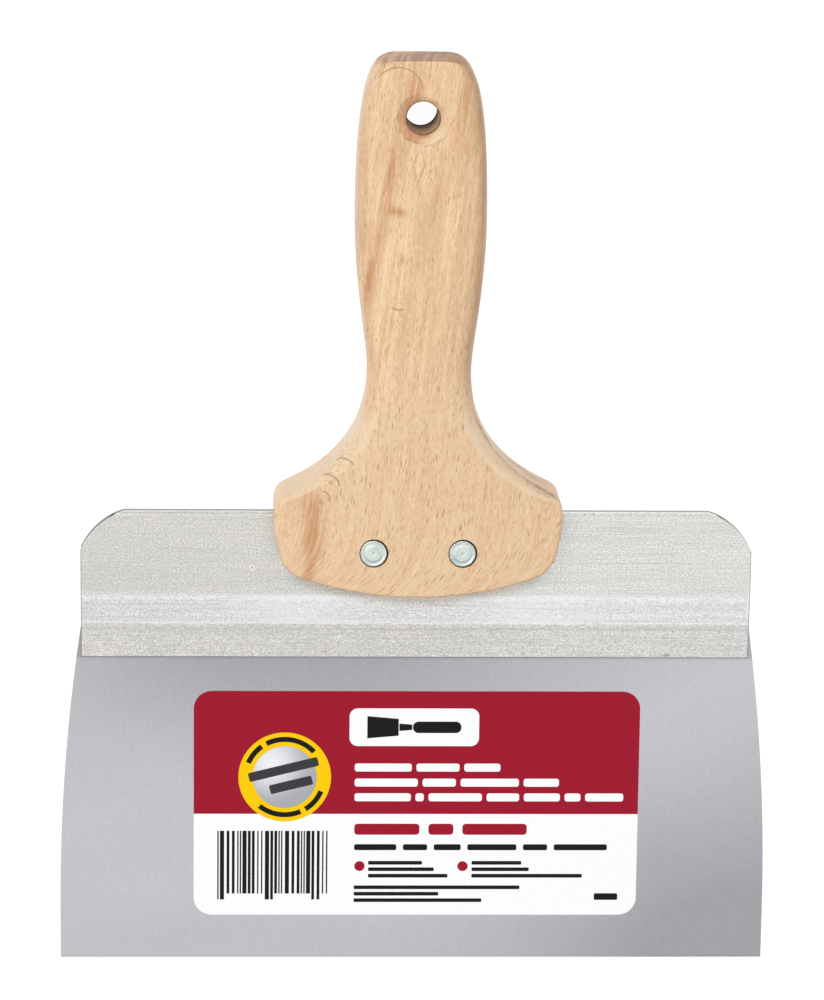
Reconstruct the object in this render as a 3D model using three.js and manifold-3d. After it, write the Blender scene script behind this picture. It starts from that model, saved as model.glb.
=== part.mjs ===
// Drywall taping knife, 8 inch (203.2 mm): a flexible steel blade crimped into an extruded aluminium back,
// which sits in a slot in a beech handle and is held there by two compression rivets. Millimetres.
//
// Every piece is drawn in the knife's own directions: X across the blade, Y from the working edge (Y = 0)
// towards the handle's end, Z out of the front face, with Z = 0 at the middle of the blade's thickness.
// The group then puts the origin under the middle of the knife, which lies on the flat back of its handle.
import * as THREE from "three";
import { mergeVertices } from "three/addons/utils/BufferGeometryUtils.js";
import Module from "manifold-3d";

const wasm = await Module();
wasm.setup();

// ---- Driving dimensions -------------------------------------------------------------------------------

// Blade
const BLADE_WIDTH = 203.2; // at the working edge
const BLADE_THICKNESS = 0.45;
const BLADE_STRAIGHT = 15.3; // length of the parallel sides above the working edge
const BLADE_SIDE_RADIUS = 562; // the sides then draw in along an arc of this radius
const BLADE_END = 109.5; // top of the hem, inside the back
const EDGE_FLAT = 0.3; // thickness left at the working edge
const EDGE_GROUND = 0.8; // length of the ground taper at the working edge
const HEM_LENGTH = 4.1; // the top of the blade is folded over, so that it can't pull out of the crimp
const HEM_GAP = 0.1;

// Aluminium back
const BACK_WIDTH = 190.5;
const BACK_BOTTOM = 90.1;
const BACK_TOP = 132.8;
const BACK_THICKNESS = 5;
const BACK_WALL = 1.1;
const LIP_TOP = 100.4; // the two walls press on the blade up to here
const SHOULDER = 108.7; // and are parallel again from here up
const CRIMP_GAP = 0.02;
const CORNER_ACROSS = 12.5; // the top corners are cut by an arc this far in from the end
const CORNER_DOWN = 11; // and this far down from the top
const CORNER_RADIUS = 21;

// Handle
const HANDLE_THICKNESS = 22;
const HANDLE_BOTTOM = 109.9;
const HANDLE_END = 262.2;
const HEAD_BOTTOM_RADIUS = 100; // the head's lower edge
const SLOT_TOP = 133.5;
const SLOT_WIDTH = 5.3;
const HOLE_Y = 246.2; // hanging hole
const HOLE_DIAMETER = 9.5;
const COUNTERSINK_DIAMETER = 12.6;
const COUNTERSINK_DEPTH = 0.9;

// Compression rivets
const RIVET_SPACING = 25.1;
const RIVET_Y = 122.8;
const RIVET_HEAD_DIAMETER = 7.6;
const RIVET_HEAD_THICKNESS = 1.5;
const RIVET_RECESS = 0.3; // the heads lie this far below the wood
const RIVET_RIM = 0.3; // bevel round the head
const TUBE_DIAMETER = 4.4;
const TUBE_BORE = 3.3;
const TUBE_END_Z = 6;
const PIN_DIAMETER = 3.1;
const PIN_END_Z = -7;
const COUNTERBORE_DIAMETER = 8.1;
const RIVET_BORE_DIAMETER = 4.7;

// Label
const LABEL_WIDTH = 128;
const LABEL_HEIGHT = 67;
const LABEL_CENTRE_X = 0.8;
const LABEL_CENTRE_Y = 46.4;
const LABEL_CORNER = 5.2;
const LABEL_THICKNESS = 0.15;

// Fineness of round stretches
const ROUND_SEGMENTS = 48;
const FILLET_SEGMENTS = 5;
const SIDE_SEGMENTS = 24;
const CUT_MARGIN = 5; // how far a cutter runs past what it cuts

// ---- Materials ----------------------------------------------------------------------------------------

const beech = new THREE.MeshStandardMaterial({ color: 0xe5c197, roughness: 0.62, metalness: 0 });
const aluminium = new THREE.MeshStandardMaterial({ color: 0xd8d6cf, roughness: 0.48, metalness: 0.9 });
const stainless = new THREE.MeshStandardMaterial({ color: 0xb9bac0, roughness: 0.3, metalness: 1 });
const rivetMetal = new THREE.MeshStandardMaterial({ color: 0xc6d0cf, roughness: 0.35, metalness: 1 });
const labelFilm = new THREE.MeshStandardMaterial({ color: 0xf6f6f4, roughness: 0.4, metalness: 0 });

// ---- Helpers ------------------------------------------------------------------------------------------

// A closed geometry as a solid that can be cut and joined.
function toSolid(geometry) {
  const bare = geometry.index ? geometry.clone() : geometry;
  bare.deleteAttribute("normal");
  bare.deleteAttribute("uv");
  const merged = mergeVertices(bare, 1e-4);
  return new wasm.Manifold(
    new wasm.Mesh({
      numProp: 3,
      vertProperties: merged.attributes.position.array,
      triVerts: new Uint32Array(merged.index.array),
    }),
  );
}

// A cut or joined solid as a geometry again.
function toGeometry(solid) {
  const mesh = solid.getMesh();
  const geometry = new THREE.BufferGeometry();
  geometry.setAttribute("position", new THREE.BufferAttribute(new Float32Array(mesh.vertProperties), 3));
  geometry.setIndex(new THREE.BufferAttribute(new Uint32Array(mesh.triVerts), 1));
  geometry.computeVertexNormals();
  return geometry;
}

// A closed shape from corners [x, y, radius], each rounded by an arc of its radius.
function roundedPolygon(corners) {
  const shape = new THREE.Shape();
  corners.forEach(([x, y, radius], i) => {
    const corner = new THREE.Vector2(x, y);
    const [px, py] = corners.at(i - 1);
    const [nx, ny] = corners[(i + 1) % corners.length];
    const towardsLast = new THREE.Vector2(px, py).sub(corner).normalize();
    const towardsNext = new THREE.Vector2(nx, ny).sub(corner).normalize();
    const halfAngle = Math.acos(THREE.MathUtils.clamp(towardsLast.dot(towardsNext), -1, 1)) / 2;
    const reach = radius / Math.tan(halfAngle);
    const start = corner.clone().addScaledVector(towardsLast, reach);
    const end = corner.clone().addScaledVector(towardsNext, reach);
    const middle = towardsLast.clone().add(towardsNext).normalize();
    const centre = corner.clone().addScaledVector(middle, radius / Math.sin(halfAngle));
    if (i === 0) shape.moveTo(start.x, start.y);
    else shape.lineTo(start.x, start.y);
    const clockwise = towardsLast.cross(towardsNext) > 0;
    shape.absarc(
      centre.x,
      centre.y,
      radius,
      Math.atan2(start.y - centre.y, start.x - centre.x),
      Math.atan2(end.y - centre.y, end.x - centre.x),
      clockwise,
    );
  });
  shape.closePath();
  return shape;
}

// A shape in the X-Y plane, made solid from z0 to z1.
function plate(shape, z0, z1, curveSegments) {
  const geometry = new THREE.ExtrudeGeometry(shape, { depth: z1 - z0, bevelEnabled: false, curveSegments });
  return geometry.translate(0, 0, z0);
}

// A profile drawn in the Y-Z plane, run along X over the given width and centred on X = 0.
function bar(profile, width) {
  const geometry = new THREE.ExtrudeGeometry(profile, {
    depth: width,
    bevelEnabled: false,
    curveSegments: FILLET_SEGMENTS,
  });
  const turn = new THREE.Matrix4().makeBasis(
    new THREE.Vector3(0, 1, 0),
    new THREE.Vector3(0, 0, 1),
    new THREE.Vector3(1, 0, 0),
  );
  return geometry.applyMatrix4(turn).translate(-width / 2, 0, 0);
}

// A profile of [radius, z] points turned about the Z direction, with its axis at (x, y).
function turned(profile, x, y) {
  const points = profile.map(([radius, z]) => new THREE.Vector2(radius, z));
  const geometry = new THREE.LatheGeometry(points, ROUND_SEGMENTS);
  return geometry.rotateX(Math.PI / 2).translate(x, y, 0);
}

// A round cutter along Z at (x, y).
function drill(diameter, z0, z1, x, y) {
  const radius = diameter / 2;
  return toSolid(turned([[0, z0], [radius, z0], [radius, z1], [0, z1]], x, y));
}

function box(width, depth, height, x, y, z) {
  return toSolid(new THREE.BoxGeometry(width, depth, height).translate(x, y, z));
}

// ---- Blade --------------------------------------------------------------------------------------------

function bladeHalfWidth(y) {
  const above = Math.max(0, y - BLADE_STRAIGHT);
  return BLADE_WIDTH / 2 - BLADE_SIDE_RADIUS + Math.sqrt(BLADE_SIDE_RADIUS ** 2 - above ** 2);
}

function bladeOutline() {
  const right = [new THREE.Vector2(BLADE_WIDTH / 2, -CUT_MARGIN)];
  for (let i = 0; i <= SIDE_SEGMENTS; i++) {
    const y = THREE.MathUtils.lerp(BLADE_STRAIGHT, BLADE_END + CUT_MARGIN, i / SIDE_SEGMENTS);
    right.push(new THREE.Vector2(bladeHalfWidth(y), y));
  }
  const left = right.map((p) => new THREE.Vector2(-p.x, p.y)).reverse();
  return new THREE.Shape([...right, ...left]);
}

// The blade seen from its side: ground edge, flat plate, and the hem folded to the front at the top.
function bladeProfile() {
  const half = BLADE_THICKNESS / 2;
  const hemInside = half + HEM_GAP;
  const hemOutside = hemInside + BLADE_THICKNESS;
  const foldRadius = (hemOutside + half) / 2;
  const foldZ = hemOutside - foldRadius;
  const foldY = BLADE_END - foldRadius;
  const hemStart = BLADE_END - HEM_LENGTH;
  const profile = new THREE.Shape();
  profile.moveTo(0, -EDGE_FLAT / 2);
  profile.lineTo(EDGE_GROUND, -half);
  profile.lineTo(foldY, -half);
  profile.absarc(foldY, foldZ, foldRadius, -Math.PI / 2, Math.PI / 2, false);
  profile.lineTo(hemStart, hemOutside);
  profile.lineTo(hemStart, hemInside);
  profile.lineTo(foldY, hemInside);
  profile.absarc(foldY, foldZ, HEM_GAP / 2, Math.PI / 2, -Math.PI / 2, true);
  profile.lineTo(EDGE_GROUND, half);
  profile.lineTo(0, EDGE_FLAT / 2);
  profile.closePath();
  return profile;
}

function bladeGeometry() {
  const folded = toSolid(bar(bladeProfile(), BLADE_WIDTH + 2 * CUT_MARGIN));
  const outline = toSolid(plate(bladeOutline(), -CUT_MARGIN, CUT_MARGIN, SIDE_SEGMENTS));
  return toGeometry(folded.intersect(outline));
}

// ---- Aluminium back -----------------------------------------------------------------------------------

// The hairpin section: closed at the top, hollow above, and pressed onto the blade below.
function backProfile() {
  const lipInside = BLADE_THICKNESS / 2 + CRIMP_GAP;
  const lipOutside = lipInside + BACK_WALL;
  const outside = BACK_THICKNESS / 2;
  const inside = outside - BACK_WALL;
  const crown = BACK_TOP - BACK_WALL;
  const front = [
    [BACK_BOTTOM, lipInside, 0.08],
    [BACK_BOTTOM, lipOutside, 0.25],
    [LIP_TOP, lipOutside, 2],
    [SHOULDER, outside, 2],
    [BACK_TOP, outside, 0.9],
  ];
  const cavity = [
    [crown, inside, 0.5],
    [SHOULDER - 0.3, inside, 1],
    [LIP_TOP - 0.3, lipInside, 1],
  ];
  const frontHalf = [...cavity, ...front];
  const rearHalf = frontHalf.map(([y, z, radius]) => [y, -z, radius]).reverse();
  return roundedPolygon([...frontHalf, ...rearHalf]);
}

function backOutline() {
  const half = BACK_WIDTH / 2;
  const start = new THREE.Vector2(half, BACK_TOP - CORNER_DOWN);
  const end = new THREE.Vector2(half - CORNER_ACROSS, BACK_TOP);
  const chord = end.clone().sub(start);
  const inwards = new THREE.Vector2(-chord.y, chord.x).normalize();
  const depth = Math.sqrt(CORNER_RADIUS ** 2 - (chord.length() / 2) ** 2);
  const centre = start.clone().addScaledVector(chord, 0.5).addScaledVector(inwards, depth);
  const startAngle = Math.atan2(start.y - centre.y, start.x - centre.x);
  const endAngle = Math.atan2(end.y - centre.y, end.x - centre.x);
  const shape = new THREE.Shape();
  shape.moveTo(-half, BACK_BOTTOM - CUT_MARGIN);
  shape.lineTo(half, BACK_BOTTOM - CUT_MARGIN);
  shape.absarc(centre.x, centre.y, CORNER_RADIUS, startAngle, endAngle, false);
  shape.lineTo(end.x, BACK_TOP + CUT_MARGIN);
  shape.lineTo(-end.x, BACK_TOP + CUT_MARGIN);
  shape.absarc(-centre.x, centre.y, CORNER_RADIUS, Math.PI - endAngle, Math.PI - startAngle, false);
  shape.closePath();
  return shape;
}

function backGeometry() {
  const section = toSolid(bar(backProfile(), BACK_WIDTH + 2 * CUT_MARGIN));
  let back = section.intersect(toSolid(plate(backOutline(), -CUT_MARGIN, CUT_MARGIN, ROUND_SEGMENTS / 4)));
  for (const side of [-1, 1]) {
    const x = (side * RIVET_SPACING) / 2;
    back = back.subtract(drill(RIVET_BORE_DIAMETER, -BACK_THICKNESS, BACK_THICKNESS, x, RIVET_Y));
  }
  return toGeometry(back);
}

// ---- Handle -------------------------------------------------------------------------------------------

const vector = (x, y) => new THREE.Vector2(x, y);

// The right half of the handle's outline, from the middle of the head's lower edge to the middle of its
// end. Each stretch also says how the edge is rounded at its start and end: [how far in, how deep].
function handleStretches() {
  const lowerArcAngle = 0.336;
  const arcCentreY = HANDLE_BOTTOM + HEAD_BOTTOM_RADIUS;
  const lowerCorner = vector(
    HEAD_BOTTOM_RADIUS * Math.sin(lowerArcAngle),
    arcCentreY - HEAD_BOTTOM_RADIUS * Math.cos(lowerArcAngle),
  );
  const sideFoot = vector(38.95, 121.6);
  const sideTop = vector(40.75, 133.5);
  const shoulder = vector(36.6, 140.45);
  const neck = vector(14.6, 174.2);
  const gripWidest = vector(18.4, 219);
  const endShoulder = vector(15.6, 254.3);
  const endCorner = vector(7.5, HANDLE_END);
  const small = [1.2, 1.2];
  const side = [1.5, 1.5];
  const scooped = [2.8, 3];
  const round = [8, 8];
  const end = [1, 1];
  return [
    {
      curve: new THREE.EllipseCurve(
        0, arcCentreY, HEAD_BOTTOM_RADIUS, HEAD_BOTTOM_RADIUS, -Math.PI / 2, lowerArcAngle - Math.PI / 2,
      ),
      steps: 12, edge: [small, small],
    },
    {
      curve: new THREE.CubicBezierCurve(lowerCorner, vector(35.8, 116.5), vector(38.3, 119.2), sideFoot),
      steps: 8, edge: [small, side],
    },
    {
      curve: new THREE.CubicBezierCurve(sideFoot, vector(40, 125.4), vector(40.75, 129.5), sideTop),
      steps: 6, edge: [side, side],
    },
    {
      curve: new THREE.CubicBezierCurve(sideTop, vector(40.75, 137.2), vector(39.9, 138.9), shoulder),
      steps: 10, edge: [side, scooped],
    },
    {
      curve: new THREE.CubicBezierCurve(shoulder, vector(22.9, 146.9), vector(14.6, 157.7), neck),
      steps: 22, edge: [scooped, round],
    },
    {
      curve: new THREE.CubicBezierCurve(neck, vector(14.6, 182), vector(18.4, 196), gripWidest),
      steps: 12, edge: [round, round],
    },
    {
      curve: new THREE.CubicBezierCurve(gripWidest, vector(18.4, 230.9), vector(17.9, 245.1), endShoulder),
      steps: 10, edge: [round, [6, 6]],
    },
    {
      curve: new THREE.CubicBezierCurve(
        endShoulder, vector(14.1, 259.3), vector(12.4, HANDLE_END), endCorner,
      ),
      steps: 12, edge: [[6, 6], end],
    },
    {
      curve: new THREE.LineCurve(endCorner, vector(0, HANDLE_END)),
      steps: 3, edge: [end, [0.5, 0.5]],
    },
  ];
}

// Samples of the whole outline, each with its place, its outward direction, and its edge's inset and depth.
function handleStations() {
  const right = [];
  handleStretches().forEach(({ curve, steps, edge: [[inset0, depth0], [inset1, depth1]] }, n) => {
    for (let i = n ? 1 : 0; i <= steps; i++) {
      const t = i / steps;
      const place = curve.getPoint(t);
      const along = curve.getTangent(t);
      right.push({
        x: place.x,
        y: place.y,
        outX: along.y,
        outY: -along.x,
        inset: THREE.MathUtils.lerp(inset0, inset1, t),
        depth: THREE.MathUtils.lerp(depth0, depth1, t ** 1.6),
      });
    }
  });
  const left = right.slice(1, -1).reverse();
  return [...right, ...left.map((s) => ({ ...s, x: -s.x, outX: -s.outX }))];
}

// The shaped blank: rings of points round the outline, rounded towards both faces, with flat faces between.
function handleBlank() {
  const stations = handleStations();
  const half = HANDLE_THICKNESS / 2;
  const ringAt = (face, turn) =>
    stations.map(({ x, y, outX, outY, inset, depth }) => {
      const back = inset * (1 - Math.cos(turn));
      return [x - outX * back, y - outY * back, face * (half - depth * (1 - Math.sin(turn)))];
    });
  const rings = [];
  for (let i = FILLET_SEGMENTS; i >= 0; i--) rings.push(ringAt(-1, (i / FILLET_SEGMENTS) * (Math.PI / 2)));
  for (let i = 0; i <= FILLET_SEGMENTS; i++) rings.push(ringAt(1, (i / FILLET_SEGMENTS) * (Math.PI / 2)));
  const count = stations.length;
  const faces = [];
  for (let ring = 0; ring + 1 < rings.length; ring++) {
    for (let i = 0; i < count; i++) {
      const next = (i + 1) % count;
      const low = ring * count;
      const high = low + count;
      faces.push([low + i, low + next, high + next], [low + i, high + next, high + i]);
    }
  }
  const top = (rings.length - 1) * count;
  const flat = rings.at(-1).map(([x, y]) => vector(x, y));
  for (const [a, b, c] of THREE.ShapeUtils.triangulateShape(flat, [])) {
    faces.push([top + a, top + b, top + c], [a, c, b]);
  }
  const geometry = new THREE.BufferGeometry();
  geometry.setAttribute("position", new THREE.Float32BufferAttribute(rings.flat(2), 3));
  geometry.setIndex(faces.flat());
  return toSolid(geometry);
}

// The hanging hole with a countersink on both faces.
function hangingHole() {
  const top = HANDLE_THICKNESS / 2;
  const neckZ = top - COUNTERSINK_DEPTH;
  const slope = (COUNTERSINK_DIAMETER - HOLE_DIAMETER) / 2 / COUNTERSINK_DEPTH;
  const past = CUT_MARGIN;
  const wide = COUNTERSINK_DIAMETER / 2 + slope * past;
  const radius = HOLE_DIAMETER / 2;
  const profile = [
    [0, -top - past], [wide, -top - past], [radius, -neckZ],
    [radius, neckZ], [wide, top + past], [0, top + past],
  ];
  return toSolid(turned(profile, 0, HOLE_Y));
}

function handleGeometry() {
  const top = HANDLE_THICKNESS / 2;
  const seat = top - RIVET_RECESS - RIVET_HEAD_THICKNESS;
  const slotBottom = HANDLE_BOTTOM - CUT_MARGIN;
  const slotHeight = SLOT_TOP - slotBottom;
  let wood = handleBlank();
  wood = wood.subtract(box(BACK_WIDTH, slotHeight, SLOT_WIDTH, 0, slotBottom + slotHeight / 2, 0));
  wood = wood.subtract(hangingHole());
  for (const side of [-1, 1]) {
    const x = (side * RIVET_SPACING) / 2;
    wood = wood.subtract(drill(RIVET_BORE_DIAMETER, -top - CUT_MARGIN, top + CUT_MARGIN, x, RIVET_Y));
    wood = wood.subtract(drill(COUNTERBORE_DIAMETER, seat, top + CUT_MARGIN, x, RIVET_Y));
    wood = wood.subtract(drill(COUNTERBORE_DIAMETER, -top - CUT_MARGIN, -seat, x, RIVET_Y));
  }
  return toGeometry(wood);
}

// ---- Rivets: a pin half from the front, driven into a tube half from the rear -------------------------

const HEAD_TOP_Z = HANDLE_THICKNESS / 2 - RIVET_RECESS;
const HEAD_UNDER_Z = HEAD_TOP_Z - RIVET_HEAD_THICKNESS;

function pinHalf(x) {
  const head = RIVET_HEAD_DIAMETER / 2;
  const pin = PIN_DIAMETER / 2;
  const profile = [
    [0, PIN_END_Z], [pin - RIVET_RIM, PIN_END_Z], [pin, PIN_END_Z + RIVET_RIM], [pin, HEAD_UNDER_Z],
    [head, HEAD_UNDER_Z], [head, HEAD_TOP_Z - RIVET_RIM], [head - RIVET_RIM, HEAD_TOP_Z], [0, HEAD_TOP_Z],
  ];
  return turned(profile, x, RIVET_Y);
}

function tubeHalf(x) {
  const head = RIVET_HEAD_DIAMETER / 2;
  const profile = [
    [0, -HEAD_TOP_Z], [head - RIVET_RIM, -HEAD_TOP_Z],
    [head, -HEAD_TOP_Z + RIVET_RIM], [head, -HEAD_UNDER_Z],
    [TUBE_DIAMETER / 2, -HEAD_UNDER_Z], [TUBE_DIAMETER / 2, TUBE_END_Z],
    [TUBE_BORE / 2, TUBE_END_Z], [TUBE_BORE / 2, -HEAD_UNDER_Z], [0, -HEAD_UNDER_Z],
  ];
  return turned(profile, x, RIVET_Y);
}

// ---- Label ---------------------------------------------------------------------------------------------

function labelGeometry() {
  const left = LABEL_CENTRE_X - LABEL_WIDTH / 2;
  const right = LABEL_CENTRE_X + LABEL_WIDTH / 2;
  const low = LABEL_CENTRE_Y - LABEL_HEIGHT / 2;
  const high = LABEL_CENTRE_Y + LABEL_HEIGHT / 2;
  const shape = roundedPolygon([
    [left, low, LABEL_CORNER],
    [right, low, LABEL_CORNER],
    [right, high, LABEL_CORNER],
    [left, high, LABEL_CORNER],
  ]);
  const face = BLADE_THICKNESS / 2;
  return plate(shape, face, face + LABEL_THICKNESS, ROUND_SEGMENTS / 6);
}

// ---- Assembly ------------------------------------------------------------------------------------------

const knife = new THREE.Group();

function add(name, geometry, material) {
  const mesh = new THREE.Mesh(geometry, material);
  mesh.name = name;
  knife.add(mesh);
}

add("blade", bladeGeometry(), stainless);
add("aluminium_back", backGeometry(), aluminium);
add("wood_handle", handleGeometry(), beech);
for (const [side, sign] of [["left", -1], ["right", 1]]) {
  const x = (sign * RIVET_SPACING) / 2;
  add(`${side}_rivet_pin_half`, pinHalf(x), rivetMetal);
  add(`${side}_rivet_tube_half`, tubeHalf(x), rivetMetal);
}
add("label", labelGeometry(), labelFilm);

knife.position.set(0, -HANDLE_END / 2, HANDLE_THICKNESS / 2);

export default knife;
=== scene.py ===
import math

import bmesh
import bpy
from mathutils import Matrix, Vector


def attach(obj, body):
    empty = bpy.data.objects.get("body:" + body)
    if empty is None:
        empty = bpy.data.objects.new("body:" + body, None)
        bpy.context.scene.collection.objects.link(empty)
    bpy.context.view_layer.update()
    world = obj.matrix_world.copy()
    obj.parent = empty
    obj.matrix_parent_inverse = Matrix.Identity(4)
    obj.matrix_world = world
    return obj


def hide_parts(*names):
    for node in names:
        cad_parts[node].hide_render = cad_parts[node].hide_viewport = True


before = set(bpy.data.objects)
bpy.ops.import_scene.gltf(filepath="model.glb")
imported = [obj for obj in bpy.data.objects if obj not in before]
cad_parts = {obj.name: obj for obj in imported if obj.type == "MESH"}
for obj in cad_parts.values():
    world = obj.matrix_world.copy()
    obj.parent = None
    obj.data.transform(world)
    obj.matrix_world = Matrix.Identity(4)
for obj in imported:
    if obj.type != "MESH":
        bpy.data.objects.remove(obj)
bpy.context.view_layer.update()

# ---- Sizes, in millimetres, in the knife's own directions ----
# x runs across the blade, "along" runs from the working edge (0) to the handle's end, and "out" runs out
# of the front face from the middle of the blade's thickness.

HANDLE_THICKNESS = 22.0
HANDLE_END = 262.2
HEAD_BOTTOM = 109.9
HEAD_BOTTOM_RADIUS = 100.0
SLOT_TOP = 133.5
SLOT_WIDTH = 5.3
SLOT_LIP = 0.45  # worn chamfer along the slot's edges
HOLE_ALONG = 246.2
HOLE_RADIUS = 4.6
COUNTERSINK_RADIUS = 6.3
COUNTERSINK_DEPTH = 0.9

BACK_WIDTH = 190.5
BACK_BOTTOM = 90.1
BACK_TOP = 132.8
BACK_THICKNESS = 5.0
BACK_WALL = 1.1
LIP_TOP = 100.4
BEND = 108.7
CRIMP_GAP = 0.02
CORNER_ACROSS = 12.5
CORNER_DOWN = 11.0
CORNER_RADIUS = 21.0

BLADE_THICKNESS = 0.45

RIVET_SPACING = 25.1
RIVET_ALONG = 122.8
RIVET_HEAD_RADIUS = 3.8
RIVET_HEAD_THICKNESS = 1.5
RIVET_RECESS = 0.3
RIVET_TOP = HANDLE_THICKNESS / 2 - RIVET_RECESS
RIVET_SEAT = RIVET_TOP - RIVET_HEAD_THICKNESS
COUNTERBORE_RADIUS = 4.05
FRONT_BORE_OFFSET = (0.14, 0.1)  # the front counterbores are drilled a little to the right and up
RIVET_BORE_RADIUS = 2.35
TUBE_RADIUS = 2.2
TUBE_BORE_RADIUS = 1.65
TUBE_END = 6.0
PIN_RADIUS = 1.55
PIN_END = -7.0

LABEL_WIDTH = 128.0
LABEL_HEIGHT = 67.0
LABEL_CENTRE = (0.8, 46.4)
LABEL_CORNER = 5.2
LABEL_THICKNESS = 0.15
INK = 0.02  # thickness of each printed layer
RING_CENTRE = (-37.1, 54.3)
RING_OUTER = 13.3
RING_INNER = 9.2

# ---- Making meshes ----


def to_frame(x, along, out):
    """A point in the knife's own directions, in mm, as metres in the CAD's frame."""
    return Vector((x, along - HANDLE_END / 2, out + HANDLE_THICKNESS / 2)) / 1000


def make_object(name, points, faces):
    mesh = bpy.data.meshes.new(name)
    mesh.from_pydata([to_frame(*p) for p in points], [], faces)
    tidy = bmesh.new()
    tidy.from_mesh(mesh)
    bmesh.ops.remove_doubles(tidy, verts=tidy.verts, dist=1e-7)
    bmesh.ops.recalc_face_normals(tidy, faces=tidy.faces)
    tidy.to_mesh(mesh)
    tidy.free()
    piece = bpy.data.objects.new(name, mesh)
    bpy.context.scene.collection.objects.link(piece)
    return piece


def apply_modifiers(piece):
    bpy.context.view_layer.update()
    evaluated = piece.evaluated_get(bpy.context.evaluated_depsgraph_get())
    mesh = bpy.data.meshes.new_from_object(evaluated)
    piece.modifiers.clear()
    piece.data = mesh
    mesh.name = piece.name


def combine(piece, cutter, operation="DIFFERENCE"):
    boolean = piece.modifiers.new("boolean", "BOOLEAN")
    boolean.operation = operation
    boolean.solver = "EXACT"
    boolean.object = cutter
    apply_modifiers(piece)
    bpy.data.objects.remove(cutter)


def smooth(piece, angle=35):
    piece.data.shade_smooth()
    piece.data.set_sharp_from_angle(angle=math.radians(angle))


def ease_edges(piece, width, segments=2, angle=50):
    bevel = piece.modifiers.new("bevel", "BEVEL")
    bevel.width = width / 1000
    bevel.segments = segments
    bevel.limit_method = "ANGLE"
    bevel.angle_limit = math.radians(angle)
    apply_modifiers(piece)


def finish_piece(piece, material, slot, *nodes):
    piece.data.materials.clear()
    piece.data.materials.append(material)
    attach(piece, "root")
    if nodes:
        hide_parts(*nodes)


def band_faces(rings, count, base=0):
    """Faces between closed rings of points, from one ring to the next, with count points in each."""
    faces = []
    for ring in range(rings - 1):
        low = base + ring * count
        high = low + count
        for i in range(count):
            j = (i + 1) % count
            faces.append((low + i, low + j, high + j, high + i))
    return faces


def capped_faces(rings, count, base=0):
    """The same, with the first and the last ring closed."""
    last = base + (rings - 1) * count
    caps = [tuple(range(base, base + count)), tuple(range(last, last + count))]
    return caps + band_faces(rings, count, base)


def prism(name, outline, low, high):
    """A flat shape of (x, along) points, made solid between two heights out of the blade."""
    points = [(x, along, out) for out in (low, high) for x, along in outline]
    return make_object(name, points, capped_faces(2, len(outline)))


def turned(name, profile, x, along, segments=96):
    """A closed profile of (radius, out) points, from axis to axis, turned about an axis along "out"."""
    points = []
    for radius, out in profile:
        for i in range(segments):
            angle = 2 * math.pi * i / segments
            points.append((x + radius * math.cos(angle), along + radius * math.sin(angle), out))
    return make_object(name, points, band_faces(len(profile), segments))


def arc(centre_x, centre_y, radius, start, end, steps):
    """Points along an arc, with angles in degrees."""
    angles = [math.radians(start + (end - start) * i / steps) for i in range(steps + 1)]
    return [(centre_x + radius * math.cos(a), centre_y + radius * math.sin(a)) for a in angles]


def rounded_box(left, low, right, high, radius, steps=10, corners="all"):
    """Outline of a rectangle with rounded corners; corners is "all", or "top" for just the upper two."""
    points = []
    for cx, cy, start in (
        (right - radius, high - radius, 0),
        (left + radius, high - radius, 90),
        (left + radius, low + radius, 180),
        (right - radius, low + radius, 270),
    ):
        if corners == "top" and start >= 180:
            points.append((left if start == 180 else right, low))
        else:
            points += arc(cx, cy, radius, start, start + 90, steps)
    return points


def round_corners(corners, steps=6):
    """A closed outline from (a, b, radius) corners, each rounded by an arc of its radius."""
    points = []
    for i, (a, b, radius) in enumerate(corners):
        corner = Vector((a, b))
        to_last = (Vector(corners[i - 1][:2]) - corner).normalized()
        to_next = (Vector(corners[(i + 1) % len(corners)][:2]) - corner).normalized()
        half = to_last.angle(to_next) / 2
        start = corner + to_last * radius / math.tan(half)
        centre = corner + (to_last + to_next).normalized() * radius / math.sin(half)
        turn = math.copysign(math.pi - 2 * half, -to_last.cross(to_next))
        for k in range(steps + 1):
            points.append(tuple(centre + Matrix.Rotation(turn * k / steps, 2) @ (start - centre)))
    return points


def bezier(p0, p1, p2, p3, t):
    """Place and unit direction on a cubic curve."""
    p0, p1, p2, p3 = (Vector(p) for p in (p0, p1, p2, p3))
    u = 1 - t
    place = u**3 * p0 + 3 * u * u * t * p1 + 3 * u * t * t * p2 + t**3 * p3
    along = u * u * (p1 - p0) + 2 * u * t * (p2 - p1) + t * t * (p3 - p2)
    return place, along.normalized()


def ease(low, high, value):
    """Smooth step from 0 at low to 1 at high."""
    t = min(max((value - low) / (high - low), 0), 1)
    return t * t * (3 - 2 * t)


# ---- Beech handle ----

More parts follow.
